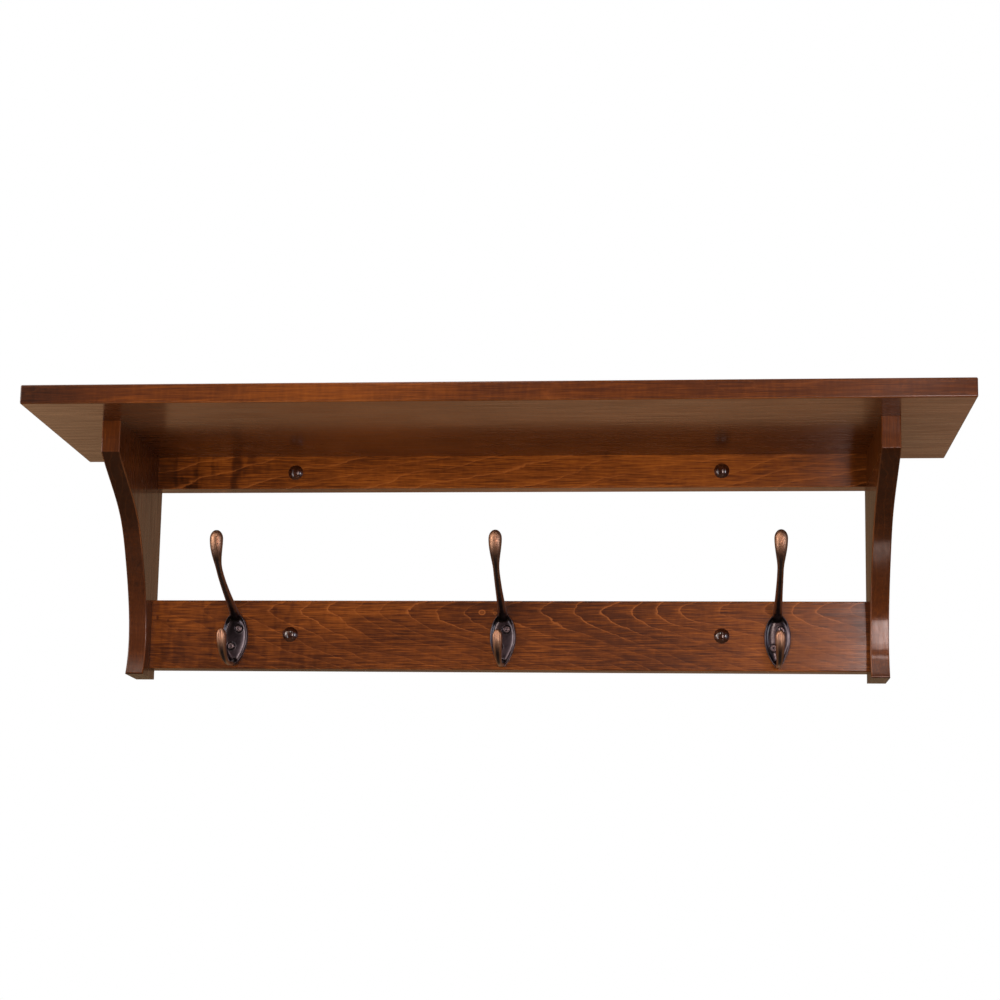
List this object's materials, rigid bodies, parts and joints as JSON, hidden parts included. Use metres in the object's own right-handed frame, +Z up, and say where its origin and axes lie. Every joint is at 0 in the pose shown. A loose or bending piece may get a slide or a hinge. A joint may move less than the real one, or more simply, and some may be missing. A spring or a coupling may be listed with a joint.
{
  "type": "wall shelf with hooks",
  "caption": "Wooden wall shelf on two curved side brackets, with an upper rail and a lower rail of double coat hooks, and domed plugs over its wall screw holes.",
  "frame": {"origin": "centre of the four wall screw holes, on the wall plane at the rails' back faces", "axes": "+X along the wall to the viewer's right, +Y into the wall, +Z up"},
  "size_m": [0.9144, 0.2286, 0.2571],
  "materials": {
    "stained_wood": "satin",
    "plug_wood": "gloss",
    "bronze": "satin",
    "screw_metal": "satin",
    "dowel_wood": "matte"
  },
  "bodies": {
    "root": {"shelf_top": "stained_wood", "bracket_left": "stained_wood", "bracket_right": "stained_wood", "upper_rail": "stained_wood", "lower_rail": "stained_wood", "plug_upper_left": "plug_wood", "plug_upper_right": "plug_wood", "plug_lower_left": "plug_wood", "plug_lower_right": "plug_wood", "hook_left": "bronze", "hook_centre": "bronze", "hook_right": "bronze", "hook_left_screws": "screw_metal", "hook_centre_screws": "screw_metal", "hook_right_screws": "screw_metal", "shelf_rail_dowels": "dowel_wood", "bracket_left_dowels": "dowel_wood", "bracket_right_dowels": "dowel_wood", "upper_rail_dowels_left": "dowel_wood", "upper_rail_dowels_right": "dowel_wood", "lower_rail_dowels_left": "dowel_wood", "lower_rail_dowels_right": "dowel_wood"}
  },
  "joints": []
}
